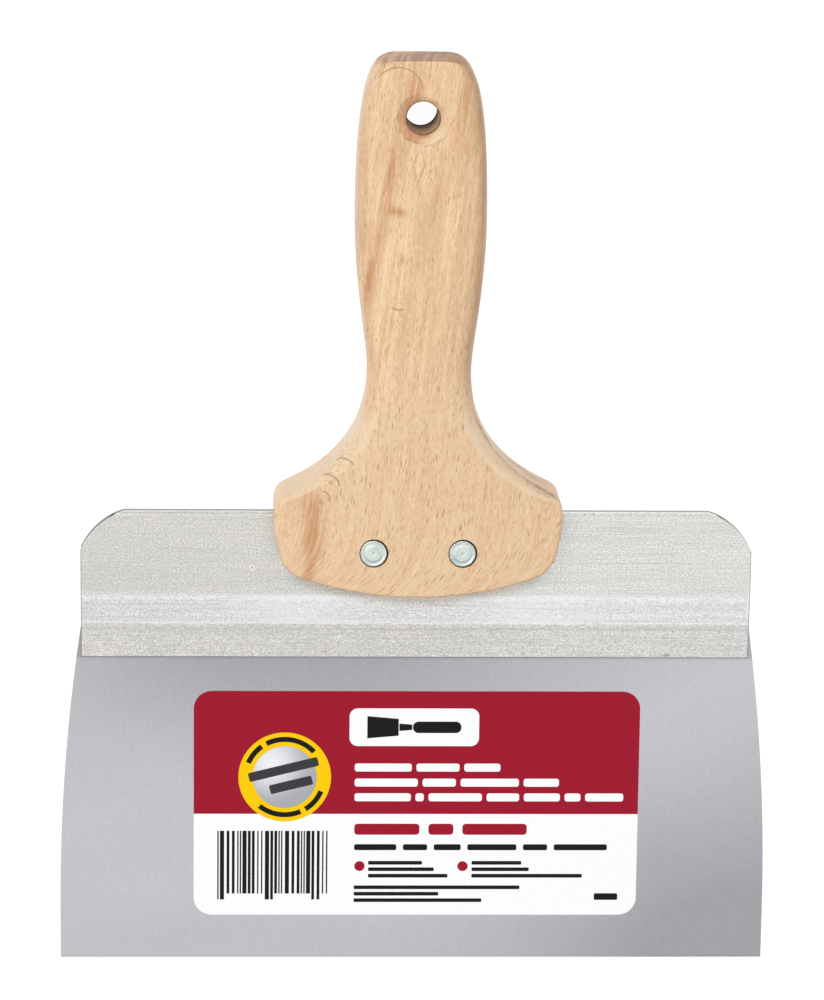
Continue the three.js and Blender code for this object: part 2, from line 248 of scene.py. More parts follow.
HANDLE_CURVES = (
    # four control points, steps, and the edge's rounding at both ends: (how far in, how deep)
    (((33, 115.5), (35.8, 116.5), (38.3, 119.2), (38.95, 121.6)), 16, (1.2, 1.2), (1.5, 1.5)),
    (((38.95, 121.6), (40, 125.4), (40.75, 129.5), (40.75, 133.5)), 10, (1.5, 1.5), (1.5, 1.5)),
    (((40.75, 133.5), (40.75, 137.2), (39.9, 138.9), (36.6, 140.45)), 18, (1.5, 1.5), (2.8, 3.0)),
    (((36.6, 140.45), (22.9, 146.9), (14.6, 157.7), (14.6, 174.2)), 44, (2.8, 3.0), (8.0, 8.0)),
    (((14.6, 174.2), (14.6, 182), (18.4, 196), (18.4, 219)), 24, (8.0, 8.0), (8.0, 8.0)),
    (((18.4, 219), (18.4, 230.9), (17.9, 245.1), (15.6, 254.3)), 20, (8.0, 8.0), (6.0, 6.0)),
    (((15.6, 254.3), (14.1, 259.3), (12.4, 262.2), (7.5, 262.2)), 26, (6.0, 6.0), (0.9, 0.9)),
    (((7.5, 262.2), (5, 262.2), (2.5, 262.2), (0, 262.2)), 6, (0.9, 0.9), (0.45, 0.45)),
)


def handle_stations():
    """(place, outward direction, edge inset, edge depth) round the handle's whole outline."""
    right = []
    reach = math.asin(33 / HEAD_BOTTOM_RADIUS)
    for i in range(24):
        angle = reach * i / 24
        out = Vector((math.sin(angle), -math.cos(angle)))
        place = Vector((0, HEAD_BOTTOM + HEAD_BOTTOM_RADIUS)) + out * HEAD_BOTTOM_RADIUS
        right.append((place, out, 1.2, 1.2))
    for controls, steps, (inset0, depth0), (inset1, depth1) in HANDLE_CURVES:
        for i in range(steps):
            t = i / steps
            place, direction = bezier(*controls, t)
            out = Vector((direction.y, -direction.x))
            inset = inset0 + (inset1 - inset0) * t
            depth = depth0 + (depth1 - depth0) * t**1.6
            right.append((place, out, inset, depth))
    right.append((Vector((0, HANDLE_END)), Vector((0, 1)), 0.45, 0.45))
    left = [(Vector((-p.x, p.y)), Vector((-o.x, o.y)), i, d) for p, o, i, d in right[-2:0:-1]]
    return right + left


def edge_profile(place, inset, depth, steps=10):
    """(how far in, out of the middle) from the side wall to the front face at one place on the outline."""
    # the hollow shoulders meet the scooped edge in a crisp line, and everything else is rounded
    crisp = 0.85 * ease(138.5, 141.5, place.y) * (1 - ease(152, 166, place.y))
    # below the top of the slot, its worn lip draws the wall in
    lip = SLOT_LIP * (1 - ease(SLOT_TOP - 0.6, SLOT_TOP + 0.1, place.y))
    half_slot = SLOT_WIDTH / 2
    profile = [
        (lip, half_slot - 0.05),
        (lip * 0.3, half_slot + SLOT_LIP * 0.7),
        (0, half_slot + SLOT_LIP * 1.6),
    ]
    top = HANDLE_THICKNESS / 2
    for k in range(steps + 1):
        angle = crisp + (math.pi / 2 - crisp) * k / steps
        back = inset * (math.cos(crisp) - math.cos(angle)) / math.cos(crisp)
        down = depth * (1 - math.sin(angle)) / (1 - math.sin(crisp))
        profile.append((back, top - down))
    profile.append((inset + 0.4, top))
    return profile


def make_handle():
    stations = handle_stations()
    profiles = [edge_profile(place, inset, depth) for place, _, inset, depth in stations]
    rings = len(profiles[0])
    points = []
    for side in (-1, 1):
        order = reversed(range(rings)) if side < 0 else range(rings)
        for ring in order:
            for (place, out, _, _), profile in zip(stations, profiles):
                back, height = profile[ring]
                points.append((*(place - out * back), side * height))
    handle = make_object("beech_handle", points, capped_faces(2 * rings, len(stations)))

    slot = [(-60, 90), (60, 90), (60, SLOT_TOP), (-60, SLOT_TOP)]
    combine(handle, prism("slot_cutter", slot, -SLOT_WIDTH / 2, SLOT_WIDTH / 2))
    combine(handle, turned("hole_cutter", hanging_hole_profile(), 0, HOLE_ALONG))
    right, up = FRONT_BORE_OFFSET
    front = counterbore_profile()
    rear = [(radius, -out) for radius, out in front]
    for side in (-1, 1):
        x = side * RIVET_SPACING / 2
        combine(handle, turned("front_bore_cutter", front, x + right, RIVET_ALONG + up))
        combine(handle, turned("rear_bore_cutter", rear, x, RIVET_ALONG))
    smooth(handle, 20)  # so small an angle keeps the hollow shoulders' edges crisp
    return handle


def hanging_hole_profile():
    top = HANDLE_THICKNESS / 2
    depth = COUNTERSINK_DEPTH
    spread = COUNTERSINK_RADIUS - HOLE_RADIUS
    # a worn countersink: steep at the hole and flatter towards the face
    lip = [(HOLE_RADIUS + spread * s, top - depth * (1 - s) ** 1.7) for s in (0.12, 0.3, 0.5, 0.72, 1)]
    front = [(HOLE_RADIUS, top - depth * 1.25), *lip, (COUNTERSINK_RADIUS + 0.5, top + 1), (0, top + 1)]
    return [(radius, -out) for radius, out in reversed(front)] + front


def counterbore_profile():
    top = HANDLE_THICKNESS / 2
    radius = COUNTERBORE_RADIUS
    return [
        (0, 0),
        (RIVET_BORE_RADIUS, 0),
        (RIVET_BORE_RADIUS, RIVET_SEAT),
        (radius, RIVET_SEAT),
        (radius, top - 0.18),
        (radius + 0.05, top - 0.06),
        (radius + 0.18, top),
        (radius + 0.4, top + 0.5),
        (0, top + 0.5),
    ]


# ---- Aluminium back ----


def back_section():
    """The hairpin section, as (along, out) points."""
    lip_inside = BLADE_THICKNESS / 2 + CRIMP_GAP
    lip_outside = lip_inside + BACK_WALL
    outside = BACK_THICKNESS / 2
    inside = outside - BACK_WALL
    front = [
        (BACK_TOP - BACK_WALL, inside, 1.1),
        (BEND - 0.3, inside, 1),
        (LIP_TOP - 0.3, lip_inside, 1),
        (BACK_BOTTOM, lip_inside, 0.08),
        (BACK_BOTTOM, lip_outside, 0.3),
        (LIP_TOP, lip_outside, 1.6),
        (BEND, outside, 1.2),
        (BACK_TOP, outside, 1.2),
    ]
    rear = [(along, -out, radius) for along, out, radius in reversed(front)]
    return round_corners(front + rear, 12)


def back_corner():
    """Start, end and centre of the arc that cuts off the back's right top corner."""
    half = BACK_WIDTH / 2
    start = Vector((half, BACK_TOP - CORNER_DOWN))
    end = Vector((half - CORNER_ACROSS, BACK_TOP))
    chord = end - start
    inwards = Vector((-chord.y, chord.x)).normalized()
    centre = start + chord / 2 + inwards * math.sqrt(CORNER_RADIUS**2 - (chord.length / 2) ** 2)
    return start, end, centre


def back_outline():
    """What is left of the section when its top corners are cut away, as (x, along) points."""
    start, end, centre = back_corner()
    first = math.degrees(math.atan2(start.y - centre.y, start.x - centre.x))
    last = math.degrees(math.atan2(end.y - centre.y, end.x - centre.x))
    corner = arc(centre.x, centre.y, CORNER_RADIUS, first, last, 24)
    right = [(start.x, BACK_BOTTOM - 5), *corner, (end.x, BACK_TOP + 5)]
    return right + [(-x, along) for x, along in reversed(right)]


def make_back():
    section = back_section()
    reach = BACK_WIDTH / 2 + 5
    points = [(x, along, out) for x in (-reach, reach) for along, out in section]
    back = make_object("crimped_back", points, capped_faces(2, len(section)))
    combine(back, prism("outline_cutter", back_outline(), -5, 5), "INTERSECT")
    bore = [(0, -5), (RIVET_BORE_RADIUS, -5), (RIVET_BORE_RADIUS, 5), (0, 5)]
    for side in (-1, 1):
        combine(back, turned("bore_cutter", bore, side * RIVET_SPACING / 2, RIVET_ALONG, 48))
    ease_edges(back, 0.12)
    smooth(back, 5)  # the fold stays in narrow flat strips, so that the broad faces shade evenly
    return back


# ---- Rivets ----


def head_profile():
    """The visible top of a rivet head, from its axis out: dimple, flat, ring-shaped dish, rim, soft edge."""
    dimple = [(0, 0.15), (0.25, 0.13), (0.5, 0.05), (0.75, 0.02)]
    dish = [(1.6, 0.03), (2.05, 0.05), (2.4, 0.13), (2.7, 0.19), (2.95, 0.17), (3.2, 0.07)]
    r = RIVET_HEAD_RADIUS
    rim = [(3.4, 0.01), (3.54, 0.015), (r - 0.12, 0.08), (r - 0.04, 0.24), (r, 0.45)]
    return [(radius, RIVET_TOP - depth) for radius, depth in dimple + dish + rim]


def make_pin_half(name, x):
    shank = [
        (RIVET_HEAD_RADIUS, RIVET_SEAT + 0.1),
        (RIVET_HEAD_RADIUS - 0.1, RIVET_SEAT),
        (PIN_RADIUS, RIVET_SEAT),
        (PIN_RADIUS, PIN_END + 0.3),
        (PIN_RADIUS - 0.3, PIN_END),
        (0, PIN_END),
    ]
    half = turned(name, head_profile() + shank, x, RIVET_ALONG)
    smooth(half)
    return half


def make_tube_half(name, x):
    rear = [(radius, -out) for radius, out in head_profile()]
    tube = [
        (RIVET_HEAD_RADIUS, -RIVET_SEAT - 0.1),
        (RIVET_HEAD_RADIUS - 0.1, -RIVET_SEAT),
        (TUBE_RADIUS, -RIVET_SEAT),
        (TUBE_RADIUS, TUBE_END - 0.1),
        (TUBE_RADIUS - 0.1, TUBE_END),
        (TUBE_BORE_RADIUS + 0.1, TUBE_END),
        (TUBE_BORE_RADIUS, TUBE_END - 0.1),
        (TUBE_BORE_RADIUS, -RIVET_SEAT),
        (0, -RIVET_SEAT),
    ]
    half = turned(name, rear + tube, x, RIVET_ALONG)
    smooth(half)
    return half


# ---- Label ----

FILM_TOP = BLADE_THICKNESS / 2 + LABEL_THICKNESS
LABEL_LEFT = LABEL_CENTRE[0] - LABEL_WIDTH / 2
LABEL_RIGHT = LABEL_CENTRE[0] + LABEL_WIDTH / 2
LABEL_LOW = LABEL_CENTRE[1] - LABEL_HEIGHT / 2
LABEL_HIGH = LABEL_CENTRE[1] + LABEL_HEIGHT / 2
BAND_LOW = LABEL_HIGH - 36.6  # lower edge of the red band
TEXT_LEFT = -17.0  # left ends of the lines that stand in for printed words


def printed(name, outlines, layer):
    """Flat shapes of ink, layer 1 on the film, 2 on layer 1 and so on, joined in one object."""
    # each layer starts half its thickness inside the one under it
    low = FILM_TOP + (layer - 1.5) * INK
    high = low + 1.5 * INK
    points, faces = [], []
    for outline in outlines:
        faces += capped_faces(2, len(outline), len(points))
        points += [(x, along, out) for out in (low, high) for x, along in outline]
    return make_object(name, points, faces)


def word_bars(left, along, height, widths, gap=1.35):
    """A row of plain bars, one for each word where the real label has words."""
    bars = []
    for width in widths:
        right = left + width
        bars.append(rounded_box(left, along - height / 2, right, along + height / 2, height * 0.3, 4))
        left = right + gap
    return bars


def small_print(left, along, lengths):
    """Thin plain lines, one under another, where the real label has small print."""
    lines = []
    for row, length in enumerate(lengths):
        middle = along - 1.95 * row
        lines.append(rounded_box(left, middle - 0.55, left + length, middle + 0.55, 0.3, 3))
    return lines


def stripes():
    """Plain stripes of changing width, where the real label has a bar code."""
    shapes = []
    left, end = -56.4, -24.8
    high = 38.2
    step = 0
    while left < end:
        width = 0.4 * (1 + (step * 7 % 5) % 3)
        space = 0.36 * (1 + (step * 5 % 7) % 2)
        low = 17.5 if step % 11 < 2 else 19.3  # a few reach lower
        right = left + width
        shapes.append([(left, low), (right, low), (right, high), (left, high)])
        left += width + space
        step += 1
    return shapes


def ring_part(outer, inner, start, end, steps):
    """A strip of a flat ring, between two angles in degrees."""
    return arc(*RING_CENTRE, outer, start, end, steps) + arc(*RING_CENTRE, inner, end, start, steps)


def yellow_ring():
    """The ring in three strips, because one outline can't have a hole."""
    return [ring_part(RING_OUTER, RING_INNER, start, start + 120.0, 40) for start in (0.0, 120.0, 240.0)]


def ring_bars():
    """Plain curved bars round the yellow ring, where the real one has words."""
    angles = ((158, 126), (118, 42), (-58, -22), (-130, -66))
    return [ring_part(12.0, 10.5, start, end, 16) for start, end in angles]


def disc_bars():
    """Two plain slanted bars across the grey disc."""
    slant = Matrix.Rotation(math.radians(14), 2)
    shapes = []
    for x, along, width in ((0.2, 2.3, 20.5), (1.2, -2.7, 12.5)):
        bar = rounded_box(x - width / 2, along - 1.35, x + width / 2, along + 1.35, 0.5, 4)
        shapes.append([tuple(Vector(RING_CENTRE) + slant @ Vector(point)) for point in bar])
    return shapes


def scraper_sign(x, along):
    """A plain sign of a scraper lying on its side: blade, neck and handle."""
    shapes = [rounded_box(x - 0.4, along - 1.7, x + 13.5, along + 1.7, 1.6, 8)]
    for left, right, left_half, right_half in ((-4.3, -0.6, 1.1, 0.8), (-13.5, -4.5, 3.3, 2.5)):
        lower = [(x + right, along - right_half), (x + left, along - left_half)]
        upper = [(x + left, along + left_half), (x + right, along + right_half)]
        shapes.append(lower + upper)
    return shapes


# ---- Shading helpers ----


def colour(red, green, blue):
    """A colour from its 0-255 sRGB values, as linear RGBA."""
    linear = []
    for value in (red, green, blue):
        c = value / 255
        linear.append(c / 12.92 if c <= 0.04045 else ((c + 0.055) / 1.055) ** 2.4)
    return (*linear, 1.0)


class Paint:
    """Builds one material. Its methods return an output socket to pass on, apart from wash and darken,
    which lay one more colour on the base colour."""

    def __init__(self, name, base, metallic=0.0, specular=0.5):
        self.base = colour(*base)
        self.material = bpy.data.materials.new(name)
        self.material.use_nodes = True
        self.tree = self.material.node_tree
        self.shader = self.tree.nodes["Principled BSDF"]
        self.shader.inputs["Metallic"].default_value = metallic
        self.shader.inputs["Specular IOR Level"].default_value = specular
        coordinates = self.tree.nodes.new("ShaderNodeTexCoord")
        offset = (0, HANDLE_END / 2, -HANDLE_THICKNESS / 2)
        # millimetres in the knife's own directions
        self.place = self.vector("MULTIPLY_ADD", coordinates.outputs["Object"], (1000,) * 3, offset)
        self.x, self.along, self.out = self.split(self.place)
        self.facing = self.split(coordinates.outputs["Normal"])

    def put(self, socket, value):
        if isinstance(value, bpy.types.NodeSocket):
            self.tree.links.new(value, socket)
        else:
            socket.default_value = value

    def vector(self, operation, *values):
        node = self.tree.nodes.new("ShaderNodeVectorMath")
        node.operation = operation
        for socket, value in zip(node.inputs, values):
            self.put(socket, value)
        return node.outputs["Value" if operation in ("LENGTH", "DISTANCE", "DOT_PRODUCT") else "Vector"]

    def math(self, operation, *values, clamp=False):
        node = self.tree.nodes.new("ShaderNodeMath")
        node.operation = operation
        node.use_clamp = clamp
        for socket, value in zip(node.inputs, values):
            self.put(socket, value)
        return node.outputs[0]

    def add(self, a, b):
        return self.math("ADD", a, b)

    def times(self, a, b):
        return self.math("MULTIPLY", a, b)

    def scaled(self, value, factor, offset):
        return self.math("MULTIPLY_ADD", value, factor, offset)

    def split(self, vector):
        node = self.tree.nodes.new("ShaderNodeSeparateXYZ")
        self.put(node.inputs[0], vector)
        return node.outputs[0], node.outputs[1], node.outputs[2]

    def join(self, x, y, z):
        node = self.tree.nodes.new("ShaderNodeCombineXYZ")
        for socket, value in zip(node.inputs, (x, y, z)):
            self.put(socket, value)
        return node.outputs[0]

    def ramp(self, value, low, high, start=0.0, end=1.0):
        """Smooth change from start, where value is low, to end, where it is high."""
        node = self.tree.nodes.new("ShaderNodeMapRange")
        node.interpolation_type = "SMOOTHSTEP"
        for socket, item in zip(node.inputs, (value, low, high, start, end)):
            self.put(socket, item)
        return node.outputs[0]

    def hump(self, value, centre, width):
        """1 at centre, falling to almost 0 at twice the width on both sides."""
        away = self.scaled(value, 1 / width, -centre / width)
        return self.math("EXPONENT", self.times(self.times(away, away), -1.0))

    def noise(self, vector, size, detail=2.0, roughness=0.5):
        """Noise from 0 to 1 with features of the given size in mm, one number or one for each direction."""
        sizes = size if isinstance(size, tuple) else (size,) * 3
        node = self.tree.nodes.new("ShaderNodeTexNoise")
        self.put(node.inputs["Vector"], self.vector("DIVIDE", vector, sizes))
        node.inputs["Scale"].default_value = 1.0
        node.inputs["Detail"].default_value = detail
        node.inputs["Roughness"].default_value = roughness
        return node.outputs[0]

    def specks(self, vector, size, radius, share):
        """Spots, 1 in the middle: one for each cell of the given size, in a share of the cells."""
        node = self.tree.nodes.new("ShaderNodeTexVoronoi")
        self.put(node.inputs["Vector"], self.vector("DIVIDE", vector, size))
        node.inputs["Scale"].default_value = 1.0
        chosen = self.split(node.outputs["Color"])
        spot = self.ramp(node.outputs["Distance"], radius * 0.4, radius, 1.0, 0.0)
        kept = self.ramp(chosen[0], 1 - share, 1 - share * 0.6)
        return self.times(spot, kept)

    def streaks(self, marks):
        """Soft marks, each through (x, along), moving sideways by lean for each mm up."""
        total = 0.0
        for x, along, lean, width, length, strength in marks:
            up = self.math("SUBTRACT", self.along, along)
            sideways = self.math("SUBTRACT", self.x, self.scaled(up, lean, x))
            mark = self.times(self.hump(sideways, 0.0, width), self.hump(up, 0.0, length))
            total = self.add(total, self.times(mark, strength))
        return total

    def away_from(self, x, along, mirrored=False):
        """Distance in the knife's plane from (x, along), or from the nearer of it and (-x, along)."""
        sideways = self.math("ABSOLUTE", self.x) if mirrored else self.x
        return self.vector("DISTANCE", self.join(sideways, self.along, 0.0), (x, along, 0.0))

    def above_head(self):
        """Height over the curved lower edge of the handle's head."""
        lower_edge = self.scaled(self.times(self.x, self.x), 0.5 / HEAD_BOTTOM_RADIUS, HEAD_BOTTOM)
        return self.math("SUBTRACT", self.along, lower_edge)

    def curl(self, x, along, radius, start, end, width):
        """1 along part of a circle, between two angles in degrees."""
        sideways = self.math("SUBTRACT", self.x, x)
        up = self.math("SUBTRACT", self.along, along)
        angle = self.math("ARCTAN2", up, sideways)
        first, last = math.radians(start), math.radians(end)
        begun = self.ramp(angle, first - 0.15, first)
        not_over = self.ramp(angle, last, last + 0.4, 1.0, 0.0)
        return self.times(self.hump(self.away_from(x, along), radius, width), self.times(begun, not_over))

    def wash(self, factor, red, green, blue, blend="MIX"):
        """Lays a colour, given in 0-255 sRGB values, over the base colour as far as factor says."""
        node = self.tree.nodes.new("ShaderNodeMix")
        node.data_type = "RGBA"
        node.blend_type = blend
        self.put(node.inputs[0], factor)
        self.put(node.inputs[6], self.base)
        self.put(node.inputs[7], colour(red, green, blue))
        self.base = node.outputs[2]

    def darken(self, factor, red, green, blue):
        """Multiplies the base colour by a colour, as far as factor says."""
        self.wash(factor, red, green, blue, "MULTIPLY")

    def finish(self, roughness, height, depth):
        """Sets the base colour, the roughness, and a bump whose height of 1 stands depth millimetres."""
        self.put(self.shader.inputs["Base Color"], self.base)
        self.put(self.shader.inputs["Roughness"], roughness)
        bump = self.tree.nodes.new("ShaderNodeBump")
        bump.inputs["Distance"].default_value = depth / 1000
        self.put(bump.inputs["Height"], height)
        self.tree.links.new(bump.outputs[0], self.shader.inputs["Normal"])
        return self.material


# ---- Materials ----

# Marks in the wood's front face and ripples across its grain: x, along, lean, width, length, strength
STAINS = (
    (-29.8, 129, 0.04, 2.7, 9.0, 1.2),  # mineral streak at the left of the head
    (-30.8, 117, 0.16, 1.7, 6.0, 0.8),
    (-30.6, 137, 0.05, 2.8, 4.0, 0.5),
    (-8.2, 231, 0.2, 2.1, 9.0, 0.75),  # slanted streak down from the hole, with a darker left edge
    (-10.0, 229, 0.22, 0.4, 11.0, 0.6),
    (-11.7, 213, 0.18, 1.6, 12.0, 0.85),
    (-15.0, 199, 0.1, 1.2, 8.0, 1.0),
    (-6.8, 220.1, -0.3, 2.3, 1.3, 1.2),  # small knots
    (-5.0, 206.6, -0.3, 1.8, 1.1, 0.5),
    (-27.3, 137.7, 0.0, 0.7, 0.7, 0.9),
    (-2.6, 251, 0.1, 1.8, 8.0, 1.0),  # pink bands on both sides of the hole
    (11.5, 248, -0.06, 4.2, 18.0, 0.45),
    (9.5, 246, 0.05, 2.2, 12.0, 0.25),
    (3.4, 222, 0.16, 1.3, 9.0, 0.45),
)
RIPPLED = (
    (-22, 152, 0.45, 3.4, 10, 0.9),  # left hollow shoulder
    (-6, 228, 0, 3, 5, 0.35),  # grip
    (-6, 194, 0, 3, 14, 0.25),
)

# Scratched arcs: x, along, radius, angle from, angle to, width
SCRATCHES = (
    (-6.9, 253.5, 6.75, 10, 130, 0.16),  # beside the hole
    (-21.2, 146.8, 3.2, 35, 115, 0.2),  # over the mineral streak
    (-25.6, 142.2, 3.3, 10, 105, 0.22),
    (-27.3, 138.6, 2.3, -15, 70, 0.22),
    (-6.1, 195.7, 3.1, -130, -80, 0.22),  # in the grip
)

# Marks round the hole: direction and half its spread in degrees, from and to in mm, strength, colour
HOLE_WEAR = (
    (155, 75, 4.5, 6.9, 0.6, (186, 128, 92)),  # scorched on its left and below
    (248, 54, 4.6, 7.2, 0.7, (196, 132, 88)),
    (300, 50, 5.6, 7.8, 0.55, (244, 222, 184)),  # paler at its lower right
    (60, 60, 4.5, 5.9, 0.4, (196, 146, 106)),
)


def beech():
    p = Paint("beech_wood", (248, 217, 174), specular=0.3)
    _, up_handle, frontward = p.facing
    front = p.ramp(p.out, 5, 9)

    # Fibres lean to the right: a little in the grip, and more and more towards the head's lower edge
    swerve = p.math("EXPONENT", p.times(p.above_head(), -0.125))
    in_grip = p.math("MAXIMUM", p.math("SUBTRACT", p.along, 160), 0.0)
    drift = p.noise(p.place, (34, 70, 34), 1.0)
    across = p.add(p.x, p.times(p.along, -0.05))
    across = p.add(across, p.times(in_grip, -0.08))
    across = p.add(across, p.times(swerve, 10.0))
    across = p.add(across, p.scaled(drift, 7.0, -3.5))
    fibre = p.join(across, p.along, p.out)

    # The hollow shoulders, where the cut slants across the grain
    shoulder = p.times(p.ramp(p.along, 166, 158), p.ramp(p.along, 136, 140))
    slanted = p.times(p.ramp(frontward, 0.98, 0.9), shoulder)
    left_scoop = p.times(slanted, p.ramp(p.x, -8, -12))

    # Year rings are upright sheets in the middle, which lie flatter towards both sides of the head; the
    # left shoulder shows none
    depth = p.math("SUBTRACT", p.out, HANDLE_THICKNESS / 2)
    lying = p.add(p.ramp(p.x, -26, -12, -2.1, 0.16), p.ramp(p.x, 14, 26, 0.0, 3.4))
    ring_place = p.add(across, p.times(depth, lying))
    uneven = p.noise(p.join(ring_place, p.times(p.along, 0.05), 0.0), 6.0, 2.0)
    turn = p.add(p.math("DIVIDE", ring_place, 3.1), p.times(uneven, 2.4))
    year = p.math("FRACT", turn)
    late = p.times(p.ramp(year, 0.0, 0.85), p.ramp(year, 0.88, 1.0, 1.0, 0.0))
    fading = p.noise(p.place, (7, 40, 9), 3.0)
    late = p.times(late, p.ramp(fading, 0.35, 0.65, 0.1, 1.0))
    late = p.times(late, p.scaled(left_scoop, -1.0, 1.0))

    # Rays: short dark dashes on the front, wide flecks on the sides; the left end of the head has none
    plain = p.math("MAXIMUM", p.ramp(p.x, -32, -26), p.ramp(p.along, 142, 150))
    dashes = p.times(p.specks(fibre, (0.64, 5.4, 6.0), 0.27, 0.75), plain)
    small_dashes = p.specks(p.vector("ADD", fibre, (31, 17, 5)), (0.5, 3.4, 4.0), 0.3, 0.8)
    fibres = p.noise(fibre, (0.34, 5.0, 0.34), 3.0, 0.7)
    crumbs = p.noise(fibre, (0.42, 1.7, 0.42), 3.0, 0.75)
    wisps = p.noise(fibre, (0.6, 8.0, 1.5), 3.0, 0.65)
    strands = p.noise(fibre, (1.1, 22.0, 1.1), 3.0, 0.6)
    bands = p.noise(fibre, (3.6, 60.0, 5.0), 2.0, 0.5)
    clouds = p.noise(p.place, (13, 38, 14), 3.0)
    in_head = p.ramp(p.along, 160, 190, 1.0, 0.0)
    figure = p.scaled(in_head, -0.5, 1.0)  # the bands and strands are fainter in the head

    p.wash(p.ramp(clouds, 0.3, 0.7), 241, 207, 166)
    p.wash(p.times(in_head, p.ramp(p.x, -30, 30, 0.6, 0.8)), 233, 200, 164)
    p.wash(p.times(p.ramp(bands, 0.42, 0.7, 0.0, 0.65), figure), 221, 182, 143)
    p.wash(p.times(p.ramp(strands, 0.42, 0.75, 0.0, 0.5), figure), 213, 168, 124)
    p.wash(p.times(p.times(late, 0.35), figure), 208, 160, 116)
    p.wash(p.ramp(crumbs, 0.5, 0.3, 0.0, 0.4), 249, 224, 190)
    p.wash(p.ramp(crumbs, 0.48, 0.72, 0.0, 0.5), 205, 160, 120)
    p.wash(p.ramp(fibres, 0.45, 0.75, 0.0, 0.38), 194, 147, 108)
    p.wash(p.ramp(wisps, 0.56, 0.72, 0.0, 0.35), 192, 144, 104)
    p.wash(p.times(small_dashes, 0.6), 184, 136, 98)
    p.wash(p.times(dashes, p.scaled(in_head, 0.35, 0.5)), 168, 118, 82)

    streaky = p.times(p.ramp(strands, 0.3, 0.62, 0.35, 1.0), p.ramp(fibres, 0.3, 0.62, 0.55, 1.15))
    stain = p.times(p.times(p.streaks(STAINS), front), streaky)
    p.wash(p.math("MINIMUM", stain, 0.9), 199, 142, 96)

    # Fine crossed lines under the hole
    under_hole = p.streaks([(-0.6, 231.5, 0.0, 3.6, 5.5, 1.0)])
    for lean, offset in ((-0.27, 0.0), (0.4, 0.9)):
        slope = p.add(p.x, p.scaled(p.along, -lean, offset))
        crossing = p.ramp(p.math("SINE", p.times(slope, 1.9)), 0.86, 1.0)
        crossing = p.times(p.times(crossing, under_hole), p.times(front, p.ramp(crumbs, 0.35, 0.6)))
        p.wash(p.times(crossing, 0.65), 168, 124, 90)

    # The wood is paler on the hollow shoulders
    p.wash(p.times(slanted, p.ramp(p.x, -10, 10, 0.42, 0.5)), 237, 217, 188)

    wavering = p.noise(p.place, (3, 2.5, 3), 2.0)
    wave = p.add(p.add(p.along, p.times(p.x, -0.25)), p.times(wavering, 4.0))
    ripple = p.times(p.ramp(p.math("SINE", p.times(wave, 5.5)), 0.3, 1.0), p.ramp(crumbs, 0.35, 0.6))
    ripple = p.times(ripple, p.streaks(RIPPLED))
    p.wash(p.times(ripple, p.math("MAXIMUM", front, left_scoop)), 196, 148, 108)

    for scratch in SCRATCHES:
        p.wash(p.times(p.times(p.curl(*scratch), p.ramp(p.out, 0, 4)), 0.75), 158, 116, 86)

    # The side walls show long lines, and the right shoulder's crisp edge gets a dark line of painted shade,
    # broken up by the grain
    side_place = p.join(p.times(p.x, 0.04), p.times(p.along, 0.04), p.out)
    side_grain = p.noise(side_place, (1, 1, 0.7), 3.0, 0.55)
    side_lines = p.times(p.ramp(frontward, 0.3, 0.15), p.ramp(side_grain, 0.5, 0.66))
    line_strength = p.add(p.times(shoulder, p.ramp(p.x, -10, 10, 0.05, 0.6)), 0.2)
    p.wash(p.times(side_lines, line_strength), 180, 146, 118)
    crisp = p.times(p.hump(frontward, 0.42, 0.07), p.times(shoulder, p.ramp(p.x, -10, 10, 0.0, 1.0)))
    crisp = p.times(crisp, p.ramp(strands, 0.35, 0.6, 0.3, 1.0))
    # painted light on the left shoulder's wall
    left_wall_light = p.times(p.times(shoulder, p.ramp(frontward, 0.75, 0.45)), p.ramp(p.x, -8, -12))
    p.wash(p.times(left_wall_light, 0.3), 232, 218, 194)
    p.wash(p.times(crisp, 0.85), 150, 104, 74)

    # Painted shade greys the edges that turn away from the front, most on the right; the side walls are
    # paler and greyer, and the end, with its year rings, is darker and pinker
    edge_shade = p.times(p.ramp(frontward, 0.99, 0.45), p.ramp(p.x, -10, 10, 0.3, 1.0))
    p.darken(p.times(edge_shade, p.ramp(p.along, 158, 180, 0.25, 1.0)), 206, 194, 187)
    end_cut = p.ramp(p.math("ABSOLUTE", up_handle), 0.5, 0.95)
    walls = p.times(p.ramp(frontward, 0.6, 0.1, 0.0, 0.35), p.scaled(end_cut, -1.0, 1.0))
    p.wash(walls, 224, 205, 188)
    p.darken(p.times(end_cut, p.ramp(p.along, 200, 250, 0.3, 0.75)), 224, 210, 206)
    p.wash(p.times(p.times(end_cut, late), p.ramp(p.along, 150, 250, 0.5, 0.8)), 142, 110, 94)

    in_hole = paint_hole(p, front, crumbs)

    # Painted shade: the cut wall round each rivet head is dark, down in its recess
    from_rivet = p.away_from(RIVET_SPACING / 2, RIVET_ALONG, mirrored=True)
    near_rivet = p.ramp(from_rivet, COUNTERBORE_RADIUS + 0.4, COUNTERBORE_RADIUS + 0.7, 1.0, 0.0)
    face = HANDLE_THICKNESS / 2
    sunk = p.ramp(p.math("ABSOLUTE", p.out), face - 0.05, face - 0.25)
    p.wash(p.times(p.times(near_rivet, sunk), 0.85), 84, 58, 42)

    roughness = p.math("MAXIMUM", p.scaled(fibres, 0.16, 0.5), in_hole)
    height = p.add(p.times(fibres, 0.5), p.times(dashes, -1.0))
    return p.finish(roughness, height, 0.03)


